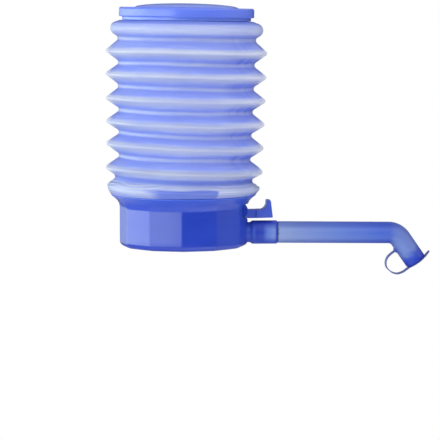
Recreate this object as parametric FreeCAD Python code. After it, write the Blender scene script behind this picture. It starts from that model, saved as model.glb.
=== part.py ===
import FreeCAD, Part
import math
import os
from FreeCAD import Vector, Rotation, Placement

# Hand pump for a water jug. Millimetres. +Z is up along the axis of the jug's neck,
# +X points along the spout. The origin is the centre of the neck grip's mouth,
# in the plane of the housing's bottom face.

os.makedirs("parts", exist_ok=True)

# ---------------------------------------------------------------- driving dimensions
NECK_R = 27.5            # jug crown, 55 mm across
GRIP_LEN = 8.0           # straight wall of the collet
LIP_Z = 13.4             # where the lip of the jug stops on the gasket

SIDES = 12               # flats round the housing
HOUSING_R = 36.6         # circumscribed radius of the flats
EDGE_R = 3.6             # rounding of the upright edges
FOOT_R = 5.4             # rounding at the bottom
FLARE_R = 41.1           # lip under the bellows
FLARE_Z = 30.0
RIM_R = 39.85            # rim inside the bellows' skirt
RIM_Z = 35.2

DECK_Z0 = 16.0           # valve deck
DECK_Z1 = 18.0
DECK_R = 33.7
LEDGE_Z = 15.2

NOTCH_X = 32.6           # flat floor of the lever's notch
NOTCH_Z0, NOTCH_Z1 = 16.4, 24.3
FLAT_X = 31.7            # inner side of that floor

PORT_Z = 7.5             # axis of the outlet and of the spout
SOCKET_X0, SOCKET_X1 = 38.3, 53.3
SOCKET_R = 6.7
SOCKET_NECK_R = 5.8
SOCKET_BORE = 5.3
PORT_BORE = 4.0

SPOUT_R = 6.1
SPOUT_BORE = 4.8
SPIGOT_R = 5.15
SPIGOT_X0 = 41.8
SPOUT_X0 = 53.7
BEND_X = 122.0
BEND_DEG = 55.0
TIP_LEN = 20.4
BEND_R = 8.2             # centre line of the elbow, outside and inside
BORE_BEND_R = 5.0

WALL = 1.1               # bellows wall
TIP_FILLET = 1.2
VALLEY_FILLET = 1.2
# ridge tips and valleys of the bellows: radius at the crest of the rounding, height
TIPS = [(44.7, 43.2), (44.7, 56.9), (45.0, 69.7), (45.3, 83.2), (45.5, 96.7), (45.5, 110.1)]
VALLEYS = [(38.5, 38.2), (38.0, 50.1), (38.0, 63.3), (38.2, 76.5), (38.4, 90.0), (38.7, 103.4), (39.0, 117.4)]
NECK_TOP_R = 34.4        # neck of the bellows inside the cap
NECK_TOP_Z = 130.85

CAP_R = 38.3             # press cap
CAP_GROOVE_R = 36.4
CAP_Z0, CAP_RIM_Z0, CAP_RIM_Z1, CAP_TOP = 128.0, 130.4, 135.2, 138.1

PIVOT = (34.4, 20.3)     # lever pivot, x and z
PIN_R = 1.0
PIN_GAP = 0.05

VALVE_AT = (-12.0, 0.0)  # delivery valve
VENT_AT = (16.5, 6.6)    # vent hole


# ---------------------------------------------------------------- helpers
def box(x0, x1, y0, y1, z0, z1):
    return Part.makeBox(x1 - x0, y1 - y0, z1 - z0, Vector(x0, y0, z0))


def cyl(r, z0, z1, x=0.0, y=0.0):
    return Part.makeCylinder(r, z1 - z0, Vector(x, y, z0))


def ring(ro, ri, z0, z1, x=0.0, y=0.0):
    return cyl(ro, z0, z1, x, y).cut(cyl(ri, z0 - 1, z1 + 1, x, y))


def cyl_x(r, x0, x1, z=PORT_Z, y=0.0):
    return Part.makeCylinder(r, x1 - x0, Vector(x0, y, z), Vector(1, 0, 0))


def cyl_y(r, y0, y1, x, z):
    return Part.makeCylinder(r, y1 - y0, Vector(x, y0, z), Vector(0, 1, 0))


def edges_of(points, closed, put):
    """Straight runs between the points, each corner (a, b, r) rounded to radius r."""
    n = len(points)
    ins, outs, arcs = [], [], []
    for i, p in enumerate(points):
        b = Vector(p[0], p[1], 0)
        r = p[2] if len(p) > 2 else 0.0
        end = not closed and i in (0, n - 1)
        if r <= 0 or end:
            ins.append(b)
            outs.append(b)
            arcs.append(None)
            continue
        a = Vector(*points[i - 1][:2], 0)
        c = Vector(*points[(i + 1) % n][:2], 0)
        u = (a - b).normalize()
        v = (c - b).normalize()
        half = u.getAngle(v) / 2
        d = r / math.tan(half)
        m = b + (u + v).normalize() * (r / math.sin(half) - r)
        ins.append(b + u * d)
        outs.append(b + v * d)
        arcs.append(m)
    edges = []
    for i in range(n):
        if arcs[i] is not None:
            edges.append(Part.Arc(put(ins[i]), put(arcs[i]), put(outs[i])).toShape())
        if i < n - 1 or closed:
            a, b = outs[i], ins[(i + 1) % n]
            if (a - b).Length > 1e-6:
                edges.append(Part.LineSegment(put(a), put(b)).toShape())
    return edges


def upright(p):
    return Vector(p.x, 0, p.y)


def turned(points):
    """Solid of revolution about Z from a closed (r, z[, rounding]) outline."""
    wire = Part.Wire(edges_of(points, True, upright))
    return Part.Face(wire).revolve(Vector(0, 0, 0), Vector(0, 0, 1), 360)


def turned_x(points, z=PORT_Z):
    """Solid of revolution about the outlet's axis from (x, r[, rounding])."""
    wire = Part.Wire(edges_of(points, True, lambda p: Vector(p.x, 0, p.y + z)))
    return Part.Face(wire).revolve(Vector(0, 0, z), Vector(1, 0, 0), 360)


def plate_xz(points, y0, y1):
    """Flat outline in XZ, (x, z[, rounding]), run along Y."""
    wire = Part.Wire(edges_of(points, True, lambda p: Vector(p.x, y0, p.y)))
    return Part.Face(wire).extrude(Vector(0, y1 - y0, 0))


def plate_xy(points, z0, z1):
    wire = Part.Wire(edges_of(points, True, lambda p: Vector(p.x, p.y, z0)))
    return Part.Face(wire).extrude(Vector(0, 0, z1 - z0))


def offset_chain(chain, t):
    """Open chain (a, b, r) moved by t to its left, roundings kept concentric."""
    lines = []
    for p, q in zip(chain, chain[1:]):
        dx, dy = q[0] - p[0], q[1] - p[1]
        n = math.hypot(dx, dy)
        nx, ny = -dy / n * t, dx / n * t
        lines.append(((p[0] + nx, p[1] + ny), (dx / n, dy / n)))
    out = [(lines[0][0][0], lines[0][0][1], 0.0)]
    for i in range(1, len(lines)):
        (p, d), (q, e) = lines[i - 1], lines[i]
        det = d[0] * e[1] - d[1] * e[0]
        s = ((q[0] - p[0]) * e[1] - (q[1] - p[1]) * e[0]) / det
        r = chain[i][2] - t if det > 0 else chain[i][2] + t
        out.append((p[0] + d[0] * s, p[1] + d[1] * s, max(r, 0.12)))
    last = chain[-1]
    d = lines[-1][1]
    out.append((last[0] - d[1] * t, last[1] + d[0] * t, 0.0))
    return out


def try_fillet(shape, r, pick):
    edges = [e for e in shape.Edges if pick(e)]
    try:
        done = shape.makeFillet(r, edges)
        if done.isValid() and done.Solids:
            return done
    except Exception:
        pass
    print("fillet left out", r, len(edges))
    return shape


def save(name, shape):
    if shape.ShapeType != "Solid" and len(shape.Solids) == 1:
        shape = shape.Solids[0]
    b = shape.BoundBox
    print("%-16s solids %d valid %s volume %9.1f  x %7.2f %7.2f  y %7.2f %7.2f  z %7.2f %7.2f" % (
        name, len(shape.Solids), shape.isValid(), shape.Volume,
        b.XMin, b.XMax, b.YMin, b.YMax, b.ZMin, b.ZMax))
    shape.exportStep("parts/%s.step" % name)
    return shape


def upright_edge(e):
    v = [p.Point for p in e.Vertexes]
    return len(v) == 2 and abs(v[0].x - v[1].x) < 1e-4 and abs(v[0].y - v[1].y) < 1e-4


# ---------------------------------------------------------------- base housing
corners = [(HOUSING_R * math.cos(math.radians(i * 360.0 / SIDES)),
            HOUSING_R * math.sin(math.radians(i * 360.0 / SIDES))) for i in range(SIDES)]
body = plate_xy(corners, 0.0, 24.6)
body = try_fillet(body, EDGE_R, upright_edge)
body = try_fillet(body, FOOT_R, lambda e: all(abs(v.Point.z) < 1e-4 for v in e.Vertexes)
                  and abs(e.BoundBox.ZMax) < 1e-3)

# concave flare and the rim that the bellows snaps over, with two ribs and a seal groove
flare = Part.Wire([
    Part.LineSegment(Vector(20, 0, 20.6), Vector(35.05, 0, 20.6)).toShape(),
    Part.Arc(Vector(35.05, 0, 20.6), Vector(37.35, 0, 25.35), Vector(FLARE_R, 0, 29.2)).toShape(),
    Part.Arc(Vector(FLARE_R, 0, 29.2), Vector(FLARE_R + 0.13, 0, 29.7), Vector(FLARE_R - 0.25, 0, FLARE_Z)).toShape(),
    Part.LineSegment(Vector(FLARE_R - 0.25, 0, FLARE_Z), Vector(RIM_R, 0, FLARE_Z)).toShape(),
    Part.LineSegment(Vector(RIM_R, 0, FLARE_Z), Vector(RIM_R, 0, RIM_Z - 0.8)).toShape(),
    Part.LineSegment(Vector(RIM_R, 0, RIM_Z - 0.8), Vector(RIM_R - 0.9, 0, RIM_Z)).toShape(),
    Part.LineSegment(Vector(RIM_R - 0.9, 0, RIM_Z), Vector(20, 0, RIM_Z)).toShape(),
    Part.LineSegment(Vector(20, 0, RIM_Z), Vector(20, 0, 20.6)).toShape(),
])
flare = Part.Face(flare).revolve(Vector(0, 0, 0), Vector(0, 0, 1), 360)
body = body.fuse(flare)
body = body.fuse(turned([(39.0, 31.2), (RIM_R, 31.2), (40.7, 31.6), (40.7, 31.9), (RIM_R, 32.15), (39.0, 32.15)]))
body = body.fuse(turned([(39.0, 33.7), (RIM_R, 33.7), (40.3, 33.85), (40.3, 34.15), (RIM_R, 34.5), (39.0, 34.5)]))
body = body.cut(turned([(39.3, 32.2), (42.0, 32.2), (42.0, 33.65), (39.3, 33.65)]))

# hollow: mouth for the neck grip, lower chamber, ledge for the deck, chamber under the bellows
hollow = turned([
    (0, -1), (29.0, -1), (29.0, 1.8), (30.2, 1.8), (33.2, 5.2), (33.2, 13.4),
    (31.4, 13.7), (31.4, LEDGE_Z), (33.9, LEDGE_Z), (33.9, 21.4), (36.2, 25.6), (38.1, 29.0),
    (38.1, RIM_Z + 1), (0, RIM_Z + 1)])
# flat wall behind the lever's notch, and the block that holds the downward water channel
hollow = hollow.cut(box(FLAT_X, 50, -30, 30, LEDGE_Z, 25.2))
hollow = hollow.cut(box(29.3, 50, -6.2, 6.2, -2, LEDGE_Z))
hollow = hollow.cut(box(28.1, 29.4, -6.2, 6.2, 12.3, LEDGE_Z))
body = body.cut(hollow)
body = body.cut(box(30.2, 33.7, -5.0, 5.0, 2.9, 15.0))
body = body.cut(box(28.9, 31.1, -5.0, 5.0, 13.1, LEDGE_Z + 1))
body = body.cut(cyl_x(SOCKET_NECK_R + 0.05, 33.6, 45.0))
# notch for the lever with a rounded lower corner, two ears for its pin, slot for its tail
body = body.cut(plate_xz([(NOTCH_X, NOTCH_Z0, 1.6), (45, NOTCH_Z0), (45, NOTCH_Z1), (NOTCH_X, NOTCH_Z1, 0.8)], -30, 30))
body = body.cut(box(35.4, 45.0, -4.4, 4.4, 15.1, NOTCH_Z0 + 0.1))
for y0, y1 in ((-10.6, -8.5), (8.5, 10.6)):
    ear = plate_xz([(NOTCH_X - 0.4, 17.2), (34.0, 17.2, 0.5), (35.7, 19.0, 1.3), (35.7, 21.8, 1.3), (34.2, 23.6, 0.5), (NOTCH_X - 0.4, 23.6)], y0, y1)
    ear = ear.cut(cyl_y(PIN_R, -20, 20, PIVOT[0], PIVOT[1]))
    body = body.fuse(ear)
body = body.cut(box(30.5, NOTCH_X + 1.0, 4.5, 8.7, 18.6, 24.0))
# three snap lugs over the edge of the deck
for deg in (90, 180, 270):
    lug = box(32.9, 34.6, -2.5, 2.5, DECK_Z1 + 0.05, DECK_Z1 + 1.6)
    lug.rotate(Vector(0, 0, 0), Vector(0, 0, 1), deg)
    body = body.fuse(lug)
save("base_housing", body.removeSplitter())

# ---------------------------------------------------------------- neck grip
grip = turned([
    (NECK_R, 0.0, 0.0), (28.8, 0.0, 0.3), (28.8, 2.0), (30.0, 2.0), (30.0, 3.2), (28.8, 3.8),
    (28.8, 11.8), (28.0, 12.0), (NECK_R + 0.4, GRIP_LEN + 0.6), (NECK_R, GRIP_LEN)])
for i in range(8):
    slot = box(20, 40, -1.0, 1.0, 3.9, 20)
    slot.rotate(Vector(0, 0, 0), Vector(0, 0, 1), 22.5 + 45 * i)
    grip = grip.cut(slot)
grip = grip.cut(box(29.05, 40, -8, 8, -1, 20))
save("neck_grip", grip)

# ---------------------------------------------------------------- neck gasket
save("neck_gasket", turned([
    (20.2, LIP_Z, 0.4), (27.4, LIP_Z, 0.4), (27.4, DECK_Z0), (20.2, DECK_Z0)]))

# ---------------------------------------------------------------- valve deck
def deck_outline(r, x, z0, z1):
    return cyl(r, z0, z1).cut(box(x, 60, -60, 60, z0 - 1, z1 + 1))


deck = deck_outline(DECK_R, FLAT_X - 0.1, DECK_Z0, DECK_Z1)
deck = deck.fuse(turned([(2.0, 8.2), (3.6, 8.2), (4.25, 9.0), (4.25, 16.2), (2.0, 16.2)]))
deck = deck.fuse(ring(1.8, 1.0, DECK_Z1 - 0.2, DECK_Z1 + 0.6, *VENT_AT))
deck = deck.cut(cyl(3.0, 0, 30))
deck = deck.cut(cyl(1.2, 10, 30, *VENT_AT))
deck = deck.cut(cyl(1.5, 10, 30, *VALVE_AT))
for i in range(6):
    a = math.radians(60 * i + 30)
    deck = deck.cut(cyl(0.95, 10, 30, VALVE_AT[0] + 4.2 * math.cos(a), VALVE_AT[1] + 4.2 * math.sin(a)))
deck = deck.cut(box(28.9, 30.7, -5.0, 2.6, 10, 30))
save("valve_deck", deck)

seal = deck_outline(DECK_R - 0.1, FLAT_X - 0.2, LEDGE_Z, DECK_Z0)
seal = seal.cut(deck_outline(31.8, 28.2, LEDGE_Z - 1, DECK_Z0 + 1))
seal = seal.cut(box(28.9, 30.7, -5.0, 2.6, 10, 30))
save("deck_seal", seal)

# ---------------------------------------------------------------- outlet duct on the deck
duct = plate_xy([(-5.4, -6.4, 3.0), (31.3, -6.4, 0.8), (31.3, 3.6, 0.8), (-5.4, 3.6, 3.0)], DECK_Z1, 23.2)
duct = duct.cut(plate_xy([(-4.4, -5.4, 2.2), (30.9, -5.4), (30.9, 2.6), (-4.4, 2.6, 2.2)], DECK_Z1 - 1, 22.0))
save("outlet_duct", try_fillet(duct, 0.6, lambda e: e.BoundBox.ZMin > 23.1))

# ---------------------------------------------------------------- vent cover on the deck
cover = plate_xy([(12.0, 3.8), (31.6, 3.8), (31.6, 9.7), (12.0, 9.7, 1.2)], DECK_Z1, 26.4)
cover = cover.cut(box(12.9, 40, 4.6, 8.8, DECK_Z1 - 1, 25.4))
save("vent_cover", cover)


# ---------------------------------------------------------------- one-way valves
def umbrella(x, y, z, disc, stem, through, head):
    """Silicone umbrella valve: disc just under z, stem up through the plate, barbed head."""
    v = turned([
        (0.0, z - 1.3), (stem * 1.2, z - 1.3, 0.3), (disc * 0.55, z - 1.05), (disc, z - 0.55, 0.2),
        (disc, z - 0.05), (disc - 0.9, z - 0.05), (disc * 0.62, z - 0.35), (stem + 0.5, z - 0.45),
        (stem, z - 0.35), (stem, z + through), (head, z + through, 0.2), (stem * 0.8, z + through + 2.2, 0.3),
        (0.0, z + through + 2.4)])
    v.translate(Vector(x, y, 0))
    return v


save("delivery_valve", umbrella(VALVE_AT[0], VALVE_AT[1], DECK_Z0, 6.3, 1.15, 3.5, 2.0))

# ---------------------------------------------------------------- bellows
outer = [(41.55, 30.1, 0.0), (43.75, 33.2, 2.3)]
for i, (r, z) in enumerate(VALLEYS):
    outer.append((r - 0.45 * VALLEY_FILLET, z, VALLEY_FILLET))
    if i < len(TIPS):
        outer.append((TIPS[i][0] + 0.5 * TIP_FILLET, TIPS[i][1], TIP_FILLET))
outer += [(44.6, 123.2, 2.4), (37.8, 127.6, 0.5), (NECK_TOP_R, 127.6, 0.5), (NECK_TOP_R, NECK_TOP_Z, 0.0)]
inner = offset_chain(outer, WALL)
loop = list(outer) + [(a, b, r) for a, b, r in reversed(inner)]
bellows = turned(loop)
save("bellows", bellows)

seal_ring = Part.makeTorus(40.35, 0.85, Vector(0, 0, 32.92), Vector(0, 0, 1))
save("bellows_seal", seal_ring)

# ---------------------------------------------------------------- press cap and what is under it
dome_r = 31.6


def on_dome(top, r, z, x):
    """Height at x of the sphere with its crown at (0, top) that passes (r, z)."""
    h = top - z
    big = (r * r + h * h) / (2 * h)
    return top - big + math.sqrt(big * big - x * x)


cap_wire = Part.Wire(
    edges_of([
        (0.0, CAP_TOP), (0.0, 136.4)], False, upright)
    + [Part.Arc(Vector(0, 0, 136.4), Vector(15.0, 0, on_dome(136.4, 29.0, 133.6, 15.0)), Vector(29.0, 0, 133.6)).toShape()]
    + edges_of([
        (29.0, 133.6), (34.9, 133.6), (34.9, CAP_Z0), (CAP_GROOVE_R, CAP_Z0, 0.35),
        (CAP_GROOVE_R, CAP_RIM_Z0, 0.3), (CAP_R, CAP_RIM_Z0, 0.7), (CAP_R, CAP_RIM_Z1, 1.6),
        (dome_r + 1.4, CAP_RIM_Z1, 0.8), (dome_r, CAP_RIM_Z1 - 0.35)], False, upright)
    + [Part.Arc(Vector(dome_r, 0, CAP_RIM_Z1 - 0.35), Vector(16.6, 0, on_dome(CAP_TOP, dome_r, CAP_RIM_Z1 - 0.35, 16.6)), Vector(0, 0, CAP_TOP)).toShape()])
cap = Part.Face(cap_wire).revolve(Vector(0, 0, 0), Vector(0, 0, 1), 360)
for i in range(6):
    rib = box(31.9, 34.95, -3.0, 3.0, 132.6, 133.8)
    rib.rotate(Vector(0, 0, 0), Vector(0, 0, 1), 30 + 60 * i)
    cap = cap.fuse(rib)
for deg in (60, 90, 120):
    slot = box(34.0, 37.4, -3.2, 3.2, CAP_Z0 - 1, 129.6)
    slot.rotate(Vector(0, 0, 0), Vector(0, 0, 1), deg)
    cap = cap.cut(slot)
save("press_cap", cap.removeSplitter())

plate = turned([
    (0.0, 123.5), (32.6, 123.5, 1.6), (32.6, 131.6), (34.2, 131.6), (34.2, 132.55), (31.4, 132.55),
    (31.4, 125.0, 0.8), (0.0, 125.0)])
plate = plate.cut(cyl(1.7, 110, 140))
for i in range(8):
    a = math.radians(45 * i)
    plate = plate.cut(cyl(1.4, 110, 140, 5.6 * math.cos(a), 5.6 * math.sin(a)))
save("intake_plate", plate)
save("plate_seal", ring(34.2, 32.8, NECK_TOP_Z + 0.05, 131.6))
save("intake_valve", umbrella(0, 0, 123.5, 9.0, 1.35, 3.0, 2.3))

# ---------------------------------------------------------------- release lever
lever = plate_xz([(33.1, 23.3, 0.6), (33.1, 16.9, 1.7), (36.3, 16.9), (36.3, 15.9),
                  (36.6, 15.9), (36.6, 20.5), (35.6, 22.9, 0.5), (35.4, 23.3, 0.3)], -8.0, 8.0)
lever = lever.cut(box(36.25, 37, -9, -3.7, 10, 21)).cut(box(36.25, 37, 3.7, 9, 10, 21))
lever = lever.cut(box(30, 37, -9, -3.7, 15.0, 16.95)).cut(box(30, 37, 3.7, 9, 15.0, 16.95))
shank = plate_xz([(36.0, 15.85), (42.0, 15.9), (42.0, 20.6), (36.0, 20.6)], -3.7, 3.7)
pad_wire = Part.Wire(
    edges_of([(44.3, 20.65), (41.3, 20.65, 0.2), (41.3, 15.9, 0.25), (50.75, 16.15, 0.4), (49.55, 26.05, 0.7),
              (47.15, 26.05, 0.35), (47.0, 25.0)], False, lambda p: Vector(p.x, -4.7, p.y))
    + [Part.Arc(Vector(47.0, -4.7, 25.0), Vector(46.35, -4.7, 22.25), Vector(44.3, -4.7, 20.65)).toShape()])
pad = Part.Face(pad_wire).extrude(Vector(0, 9.4, 0))
pad = try_fillet(pad, 0.45, lambda e: abs(abs(e.BoundBox.YMin) - 4.7) < 1e-3 and abs(abs(e.BoundBox.YMax) - 4.7) < 1e-3
                 and e.BoundBox.YLength < 1e-3)
tail = box(14.3, 33.6, 5.0, 8.2, 20.2, 22.4)
tail = try_fillet(tail, 0.5, lambda e: e.BoundBox.XMax < 14.31)
lever = lever.fuse(shank).fuse(pad).fuse(tail)
lever = lever.cut(cyl_y(PIN_R + PIN_GAP, -20, 20, PIVOT[0], PIVOT[1]))
save("release_lever", lever.removeSplitter())

plug = turned([(0.0, 18.6), (1.7, 18.6, 0.3), (1.8, 19.4), (1.5, 20.2), (0.0, 20.2)])
plug.translate(Vector(VENT_AT[0], VENT_AT[1], 0))
save("vent_plug", plug)

pin = cyl_y(PIN_R, -10.6, 10.6, PIVOT[0], PIVOT[1])
save("lever_pin", try_fillet(pin, 0.25, lambda e: e.BoundBox.YLength < 1e-3))

# lever spring: a few turns between the tail and the roof of the vent cover
turns = Part.makeHelix(0.72, 2.16, 1.15)
turns.translate(Vector(24.0, 6.6, 22.82))
section = Part.Wire(Part.makeCircle(0.28, Vector(25.15, 6.6, 22.82), Vector(0, 1, 0.1)))
spring = turns.makePipeShell([section], True, True) if hasattr(turns, "makePipeShell") else \
    Part.Wire(turns.Edges).makePipeShell([section], True, True)
end_a = Part.makeTorus(1.15, 0.28, Vector(24.0, 6.6, 22.72), Vector(0, 0, 1))
end_b = Part.makeTorus(1.15, 0.28, Vector(24.0, 6.6, 25.08), Vector(0, 0, 1))
spring = Part.makeSolid(spring) if spring.ShapeType == "Shell" else spring
spring = spring.fuse(end_a).fuse(end_b)
save("lever_spring", spring)

# ---------------------------------------------------------------- outlet socket
socket = turned_x([
    (33.9, PORT_BORE), (33.9, SOCKET_NECK_R), (SOCKET_X0 - 0.5, SOCKET_NECK_R, 0.5), (SOCKET_X0 + 0.9, SOCKET_R, 1.2),
    (SOCKET_X1, SOCKET_R, 0.25), (SOCKET_X1, SOCKET_BORE + 0.25), (SOCKET_X1 - 0.3, SOCKET_BORE),
    (SPIGOT_X0 - 0.4, SOCKET_BORE), (SPIGOT_X0 - 0.4, PORT_BORE)])
save("outlet_socket", socket)

# ---------------------------------------------------------------- spout
rad = math.radians(BEND_DEG)
tip_dir = Vector(math.cos(rad), 0, -math.sin(rad))
bend = Vector(BEND_X, 0, PORT_Z)
tip = bend + tip_dir * TIP_LEN


def elbow(r, x0, bend_r, extra=0.0):
    t = bend_r * math.tan(rad / 2)
    start = Vector(BEND_X - t, 0, PORT_Z)
    a = cyl_x(r, x0, start.x)
    disc = Part.Face(Part.Wire(Part.makeCircle(r, start, Vector(1, 0, 0))))
    turn = disc.revolve(start - Vector(0, 0, bend_r), Vector(0, 1, 0), BEND_DEG)
    b = Part.makeCylinder(r, TIP_LEN - t + extra, bend + tip_dir * t, tip_dir)
    return a.fuse(turn).fuse(b)


spout = elbow(SPOUT_R, SPOUT_X0, BEND_R)
spout = spout.fuse(turned_x([
    (SPIGOT_X0, 0.0), (SPIGOT_X0, SPIGOT_R, 0.5), (46.5, SPIGOT_R), (46.5, 4.65), (48.3, 4.65), (48.3, SPIGOT_R),
    (SPOUT_X0 + 0.5, SPIGOT_R), (SPOUT_X0 + 0.5, 0.0)]))
spout = spout.cut(elbow(SPOUT_BORE, 55.0, BORE_BEND_R, 1.0))
spout = spout.cut(cyl_x(3.7, 30, 56))
spout = spout.removeSplitter()
save("spout", spout)

save("spout_o_ring", Part.makeTorus(4.97, 0.3, Vector(47.4, 0, PORT_Z), Vector(1, 0, 0)))

# ---------------------------------------------------------------- spout cap, strap and lug
put = Placement(tip, Rotation(Vector(0, 1, 0), 90.0 + BEND_DEG))
stopper = turned([
    (0.0, 0.05), (3.6, 0.05), (3.6, -4.6), (4.2, -4.6), (SPOUT_BORE - 0.05, -4.0), (SPOUT_BORE - 0.05, 0.05),
    (6.5, 0.05, 0.3), (6.5, 1.0, 0.45), (0.0, 1.55)])
tab = plate_xy([(-5.0, -2.6), (-5.0, 2.6), (-8.7, 2.6, 1.6), (-8.7, -2.6, 1.6)], 0.12, 0.95)
stopper = stopper.fuse(tab)
stopper = stopper.removeSplitter()
stopper.Placement = put.multiply(stopper.Placement)
save("spout_cap", stopper)

path = [(128.2, -13.8), (126.9, -14.9), (125.1, -15.7), (122.7, -16.2), (120.1, -15.6), (118.2, -14.3),
        (116.6, -12.5), (116.1, -10.2), (116.4, -8.3), (117.5, -6.3), (119.1, -4.7), (120.4, -3.65)]


def smooth(points, n):
    out = []
    for i in range(len(points) - 1):
        p0 = points[max(i - 1, 0)]
        p1, p2 = points[i], points[i + 1]
        p3 = points[min(i + 2, len(points) - 1)]
        for k in range(n):
            t = k / n
            out.append(tuple(
                0.5 * (2 * b + (c - a) * t + (2 * a - 5 * b + 4 * c - d) * t * t + (3 * b - a - 3 * c + d) * t ** 3)
                for a, b, c, d in zip(p0, p1, p2, p3)))
    out.append(points[-1])
    return out


line = smooth(path, 4)
half_t = 0.42
left, right = [], []
for i, p in enumerate(line):
    a = line[max(i - 1, 0)]
    b = line[min(i + 1, len(line) - 1)]
    dx, dz = b[0] - a[0], b[1] - a[1]
    n = math.hypot(dx, dz)
    left.append((p[0] - dz / n * half_t, p[1] + dx / n * half_t))
    right.append((p[0] + dz / n * half_t, p[1] - dx / n * half_t))
save("cap_strap", plate_xz(left + right[::-1], -2.7, 2.7))

lug = Part.makeBox(3.0, 6.4, 2.2, Vector(-1.5, -3.2, 0))
lug = try_fillet(lug, 0.5, lambda e: e.BoundBox.ZMin > 1.0)
side = Vector(-math.sin(rad), 0, -math.cos(rad))
# the lug stands on the inner side of the tip, 8.6 mm past the bend
at = bend + tip_dir * 8.6 + side * (SPOUT_R - 0.75)
lug.Placement = Placement(at, Rotation(Vector(0, 1, 0), -(90.0 + (90.0 - BEND_DEG))))
lug = lug.cut(elbow(SPOUT_R, SPOUT_X0, BEND_R))
save("strap_lug", lug)
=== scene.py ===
import math

import bmesh
import bpy
import numpy as np
from mathutils import Matrix, Vector, noise


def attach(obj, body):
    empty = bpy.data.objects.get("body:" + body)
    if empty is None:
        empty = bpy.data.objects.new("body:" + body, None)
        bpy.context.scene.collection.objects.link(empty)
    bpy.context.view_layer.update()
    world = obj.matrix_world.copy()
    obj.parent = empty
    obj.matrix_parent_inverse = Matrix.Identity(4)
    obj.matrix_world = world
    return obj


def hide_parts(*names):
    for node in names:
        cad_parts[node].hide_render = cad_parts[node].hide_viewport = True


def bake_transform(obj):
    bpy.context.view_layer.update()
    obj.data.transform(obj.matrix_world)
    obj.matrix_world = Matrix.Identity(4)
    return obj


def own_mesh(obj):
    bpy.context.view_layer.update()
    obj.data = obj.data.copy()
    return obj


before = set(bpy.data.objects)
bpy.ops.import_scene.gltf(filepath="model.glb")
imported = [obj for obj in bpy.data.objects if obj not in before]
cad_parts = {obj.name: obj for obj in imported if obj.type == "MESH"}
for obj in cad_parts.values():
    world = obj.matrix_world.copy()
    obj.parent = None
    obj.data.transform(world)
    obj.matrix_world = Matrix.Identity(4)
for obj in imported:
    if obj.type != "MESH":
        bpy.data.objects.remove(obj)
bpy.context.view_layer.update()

MM = 0.001


scene = bpy.context.scene
scene.view_settings.view_transform = "Standard"
scene.view_settings.look = "None"
scene.view_settings.exposure = 0.0
scene.view_settings.gamma = 1.0

# ================================================================ camera
SCALE_X0 = 0.95          # turn to the right, so that the pump stands left of the middle
cam_data = bpy.data.cameras.new("camera")
cam_data.lens = 180.0
cam_data.sensor_width = 36.0
cam_data.clip_end = 50.0
camera = bpy.data.objects.new("camera", cam_data)
scene.collection.objects.link(camera)
camera.location = (-1.25 * math.sin(math.radians(2.4)), -1.25 * math.cos(math.radians(2.4)), 0.135)
camera.rotation_euler = (math.radians(90.0 - 5.5), 0.0, math.radians(-2.4 - SCALE_X0))
scene.camera = camera


# ================================================================ shapes
def fillet_path(points, closed, turn=12.0, step=1.3):
    """Straight runs between the points with each corner (a, b, r) rounded, as a list of points."""
    n = len(points)
    out = []
    for i, p in enumerate(points):
        b = np.array(p[:2], float)
        r = p[2] if len(p) > 2 else 0.0
        if r <= 0 or (not closed and i in (0, n - 1)):
            out.append(b)
            continue
        a = np.array(points[i - 1][:2], float)
        c = np.array(points[(i + 1) % n][:2], float)
        u = (a - b) / np.linalg.norm(a - b)
        v = (c - b) / np.linalg.norm(c - b)
        half = math.acos(max(-1.0, min(1.0, float(u @ v)))) / 2
        m = (u + v) / np.linalg.norm(u + v)
        centre = b + m * (r / math.sin(half))
        s, e = b + u * (r / math.tan(half)), b + v * (r / math.tan(half))
        a0 = math.atan2(*(s - centre)[::-1])
        a1 = math.atan2(*(e - centre)[::-1])
        d = (a1 - a0 + math.pi) % (2 * math.pi) - math.pi
        k = max(2, int(math.ceil(abs(math.degrees(d)) / turn)))
        for j in range(k + 1):
            t = a0 + d * j / k
            out.append(centre + r * np.array([math.cos(t), math.sin(t)]))
    full = []
    pairs = list(zip(out, out[1:] + ([out[0]] if closed else [])))
    for a, b in pairs:
        length = float(np.linalg.norm(b - a))
        k = max(1, int(math.ceil(length / step)))
        for j in range(k):
            full.append(a + (b - a) * j / k)
    if not closed:
        full.append(out[-1])
    tidy = [full[0]]
    for p in full[1:]:
        if np.linalg.norm(p - tidy[-1]) > 1e-4:
            tidy.append(p)
    if closed and np.linalg.norm(tidy[0] - tidy[-1]) < 1e-4:
        tidy.pop()
    return tidy


def offset_chain(chain, t):
    """Open chain (a, b, r) moved by t to its left, roundings kept concentric."""
    lines = []
    for p, q in zip(chain, chain[1:]):
        dx, dy = q[0] - p[0], q[1] - p[1]
        n = math.hypot(dx, dy)
        lines.append(((p[0] - dy / n * t, p[1] + dx / n * t), (dx / n, dy / n)))
    out = [(lines[0][0][0], lines[0][0][1], 0.0)]
    for i in range(1, len(lines)):
        (p, d), (q, e) = lines[i - 1], lines[i]
        det = d[0] * e[1] - d[1] * e[0]
        s = ((q[0] - p[0]) * e[1] - (q[1] - p[1]) * e[0]) / det
        r = chain[i][2] - t if det > 0 else chain[i][2] + t
        out.append((p[0] + d[0] * s, p[1] + d[1] * s, max(r, 0.12)))
    last, d = chain[-1], lines[-1][1]
    out.append((last[0] - d[1] * t, last[1] + d[0] * t, 0.0))
    return out


def smoothstep(a, b, x):
    t = min(1.0, max(0.0, (x - a) / (b - a)))
    return t * t * (3 - 2 * t)


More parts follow.
